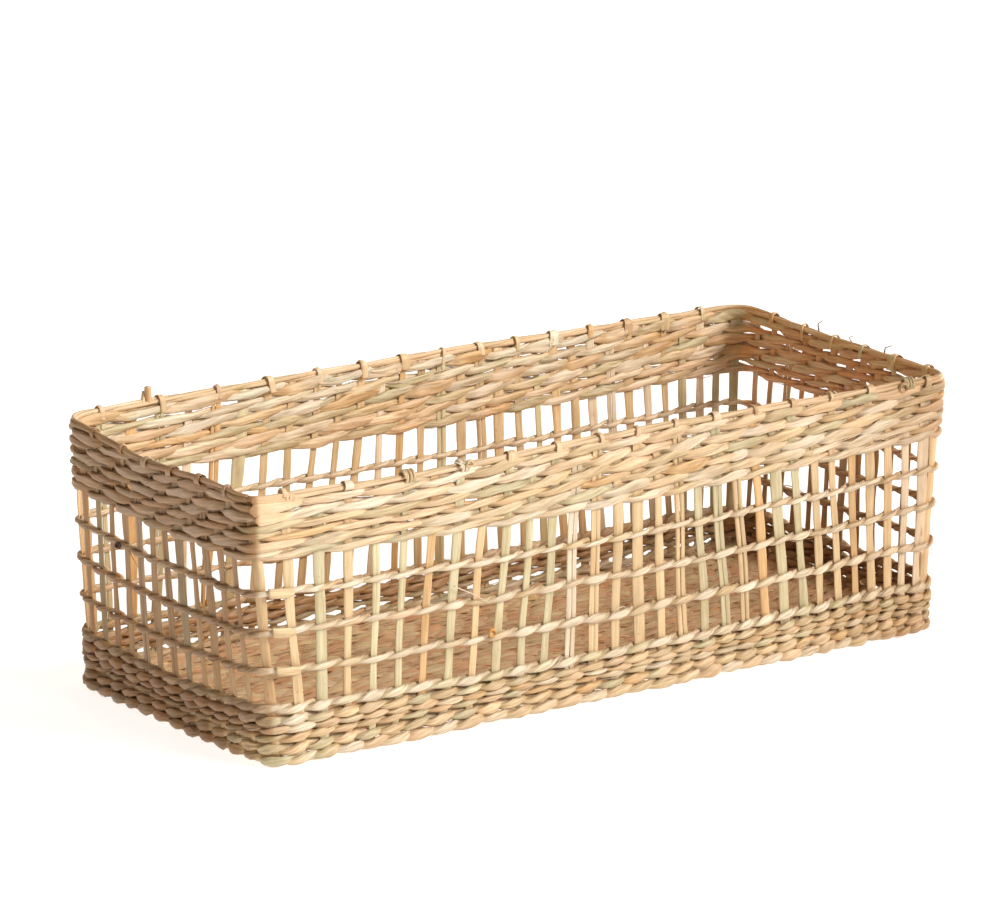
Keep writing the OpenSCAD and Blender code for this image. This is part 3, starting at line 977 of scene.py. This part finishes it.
def rod_strands(bag, rng):
    """The strands of the rim rod, wound slowly round each other."""
    c = np.linspace(0, STAKES, STAKES * 10 + 1)
    g = np.interp(c, np.arange(STAKES + 1), stations(ROD_Z))
    length = path_length(g, ROD_Z)
    turns = np.round(length[-1] / ROD_TURN)
    for strand in range(ROD_STRANDS):
        phase = TAU * (strand / ROD_STRANDS + turns * length / length[-1])
        n = 0.75 * MM * np.cos(phase)
        z = ROD_Z - 0.3 * MM + 0.65 * MM * np.sin(phase) + 0.25 * MM * wander(c, 22.0, rng)
        wide, thick = np.full_like(c, 1.0 * MM), np.full_like(c, 0.8 * MM)
        t, r, leaf = section(rng, length, wide, thick, sides=10, grooves=2)
        points = on_wall(np.mod(g, 4)[:, None] + 0 * t, z[:, None] + t, n[:, None] + r)
        tone, other = pick(rng, RIM), pick(rng, RIM)
        fade = np.clip(0.5 + 0.5 * wander(c, 17.0, rng), 0, 1)[:, None]
        bag.add(points, length, leaf_tone_and_painted_shade(tone * fade + other * (1 - fade), leaf), 6 * MM)


def doubled_strand(bag, rng):
    s = np.linspace(0, 1, 30)
    blunt = np.sqrt(np.clip(1 - (2 * s - 1) ** 24, 0, 1))
    t, r = strip_section(rng, s * DOUBLED, 2.0 * MM * blunt + 0.1 * MM, np.full_like(s, 0.3 * MM))
    g = 0.004 + DOUBLED * s / side_run(half_x(ROD_Z))
    z = ROD_Z - 0.4 * MM - 0.6 * MM * s
    bag.add(lay(g, z, 2.2 * MM + 0 * s, 0 * s, t, r), s * DOUBLED, TAN, 9 * MM)


def corner_floats(bag, rng):
    s = np.linspace(0, 1, 30)
    for drop, long, wide, start in CORNER_FLOATS:
        blunt = np.clip(s / 0.06, 0.4, 1) * (1 - 0.7 * s ** 1.5)
        t, r = strip_section(rng, s * long * MM, wide * MM * blunt, np.full_like(s, 0.35 * MM))
        g = start + long * MM * s / side_run(half_x(ROD_Z))
        z = ROD_Z - drop * MM + 0.8 * MM * s
        n = 2.7 * MM - 1.4 * MM * ramp_up(s, 0.6, 1.0)
        bag.add(lay(g, z, n, 0 * s, t, r), s * long * MM, PEACH, 9 * MM)


def rim_strays(bag):
    """Hairs on the right side of the rim and two cut ends at the back left of it."""
    hair(bag, 1.30, ROD_Z, 0.5, 5, -2, 3, 0.42, DARK)
    hair(bag, 1.45, ROD_Z, 0.5, 4, 4, 4, 0.3, BARK)
    hair(bag, 1.62, ROD_Z, 0.5, 6, 1, 3, 0.42, DARK)
    s = np.linspace(0, 1, 30)
    thread(bag, on_wall(2.890 + 0 * s, ROD_Z + 6.5 * MM * s, -0.5 * MM * s), 1.7 * MM, TAN, 0.15)
    thread(bag, on_wall(2.897 - 0.004 * s, ROD_Z + 4.5 * MM * s, 1.2 * MM * s), 1.1 * MM, STRAW, 0.3)


rng = np.random.default_rng(53)
bag = Bag()
rod_strands(bag, rng)
doubled_strand(bag, rng)
corner_floats(bag, rng)
rim_strays(bag)
make(bag, "rim_bundle", rim_mat, "rim_straw", "rim_rod")


def coil(bag, g, turns, tone, tails, rng):
    """A thin strand wound several times round the rim rod, with a few loose tails."""
    s = np.linspace(0, 1, 18 * turns)
    a = TAU * turns * s
    reach = ROD_RADIUS + 1.0 * MM
    pitch = 1.35 * MM
    gg = g + (s - 0.5) * turns * pitch / run_at(g, ROD_Z) + 0.0008 * np.sin(0.7 * a)
    line = on_wall(gg, ROD_Z - 0.2 * MM + reach * np.sin(a), reach * np.cos(a))
    thread(bag, line, 0.72 * MM, tone, 0.15)
    for _ in range(tails):
        rise, along = rng.uniform(-4, 5), rng.uniform(-9, 9)
        z = ROD_Z + rng.uniform(-1, 2) * MM
        curl = rng.uniform(-4, 4)
        hair(bag, g, z, 1.6, rise, along, curl, 0.3, tone * 0.85)


def fold(bag, k, rng):
    """A stake's end, bent over the rod and tucked into the top band on the outside."""
    reach = ROD_RADIUS + 0.65 * MM
    leg_in, leg_out = rng.uniform(3, 5) * MM, rng.uniform(1.5, 4.5) * MM
    arc = math.pi * reach
    total = leg_in + arc + leg_out
    s = np.linspace(0, total, 44)
    turn = np.clip((s - leg_in) / reach, 0, math.pi)
    inner, outer = np.clip(leg_in - s, 0, None), np.clip(s - leg_in - arc, 0, None)
    z = ROD_Z - 0.2 * MM + reach * np.sin(turn) - inner - outer
    n = -reach * np.cos(turn) - 1.6 * MM * (outer / leg_out) ** 2
    slant = rng.uniform(-2.2, 2.8) * MM * (s / total - 0.3)
    width = rng.choice([0.9, 1.2, 1.6, 2.3]) * rng.uniform(0.9, 1.1) * MM
    wide = width * (1 - 0.25 * bump((s - leg_in - arc / 2) / (2 * MM)))
    t, r = strip_section(rng, s, wide, np.full_like(s, 0.26 * MM), sides=10)
    g = stations(ROD_Z)[k]
    dn, dz = -r * np.cos(turn)[:, None], r * np.sin(turn)[:, None]
    gg = g + (slant[:, None] + t) / run_at(g, ROD_Z)
    points = on_wall(gg, z[:, None] + dz, n[:, None] + dn)
    bag.add(points, s, pick(rng, RIM if rng.uniform() < 0.65 else TOP), 9 * MM)


# Folds of the front that are tied with a wound strand: ring place, turns and loose tails
COILS = ((0.065, 2, 0), (0.205, 4, 0), (0.28, 3, 4), (0.92, 4, 3))
COIL_REACH = 0.03
for side, name in enumerate(SIDE_NAMES):
    bag = Bag()
    members = [k for k in range(STAKES) if SIDE_OF[k] == side and k not in CORNERS]
    for k in members[::2] if side < 2 else members[::-2]:
        place = stations(ROD_Z)[k]
        tied = [tie for tie in COILS if abs(place - tie[0]) < COIL_REACH]
        if tied:
            coil(bag, place, tied[0][1], pick(rng, TOP), tied[0][2], rng)
        else:
            fold(bag, k, rng)
    if side == 0:
        knot(bag, 0.283, ROD_Z + 1 * MM, 2.2, 1.5, 2, STRAW)
        knot(bag, 0.93, ROD_Z - 1 * MM, 2.0, 2.2, 2, TAN)
        for k in members[-2:]:
            fold(bag, k, rng)
    make(bag, name + "_folds", rim_mat, "rim_straw", name + "_wraps")

# ---------------------------------------------------------------- stage, light and camera

scene = bpy.context.scene
scene.view_settings.view_transform = "Standard"


def pale_floor():
    bpy.ops.mesh.primitive_plane_add(size=30, location=(0, 0, 0))
    floor = bpy.context.object
    floor.name = "stage_floor"
    paper = bpy.data.materials.new("pale_floor")
    paper.use_nodes = True
    sockets = paper.node_tree.nodes["Principled BSDF"].inputs
    sockets["Base Color"].default_value = (0.45, 0.43, 0.41, 1)
    sockets["Roughness"].default_value = 0.9
    sockets["Emission Color"].default_value = (1, 0.98, 0.95, 1)
    sockets["Emission Strength"].default_value = 0.85
    floor.data.materials.append(paper)


def studio_light():
    """Soft light from all round, darker and warmer from the -X side."""
    world = bpy.data.worlds.new("studio")
    scene.world = world
    world.use_nodes = True
    tree = world.node_tree
    background = tree.nodes["Background"]
    background.inputs["Strength"].default_value = 1.0
    direction = tree.nodes.new("ShaderNodeTexCoord")
    split = tree.nodes.new("ShaderNodeSeparateXYZ")
    fade = tree.nodes.new("ShaderNodeValToRGB")
    shift = tree.nodes.new("ShaderNodeMapRange")
    shift.inputs["From Min"].default_value = -1
    tree.links.new(direction.outputs["Generated"], split.inputs["Vector"])
    tree.links.new(split.outputs["X"], shift.inputs["Value"])
    tree.links.new(shift.outputs["Result"], fade.inputs["Fac"])
    fade.color_ramp.elements[0].color = (0.33, 0.275, 0.21, 1)
    fade.color_ramp.elements[1].color = (0.58, 0.54, 0.48, 1)
    tree.links.new(fade.outputs["Color"], background.inputs["Color"])


def key_light():
    """A wide soft sun."""
    sun = bpy.data.lights.new("key", "SUN")
    sun.energy = 3.3
    sun.angle = math.radians(24)
    sun.color = (1.0, 0.98, 0.95)
    key = bpy.data.objects.new("key", sun)
    scene.collection.objects.link(key)
    key.rotation_euler = Vector((-0.45, 0.70, -0.56)).to_track_quat("-Z", "Y").to_euler()


AZIMUTH, ELEVATION = math.radians(-35.07), math.radians(14.67)
LENS = 181.8
STANDPOINT = (-1.1875, -1.6771, 0.6243)


def camera():
    camera_data = bpy.data.cameras.new("camera")
    camera_data.lens = LENS
    view = bpy.data.objects.new("camera", camera_data)
    scene.collection.objects.link(view)
    toward = Vector((-math.sin(AZIMUTH) * math.cos(ELEVATION),
                     math.cos(AZIMUTH) * math.cos(ELEVATION), -math.sin(ELEVATION)))
    view.location = STANDPOINT
    view.rotation_mode = "QUATERNION"
    view.rotation_quaternion = toward.to_track_quat("-Z", "Y")
    scene.camera = view


pale_floor()
studio_light()
key_light()
camera()
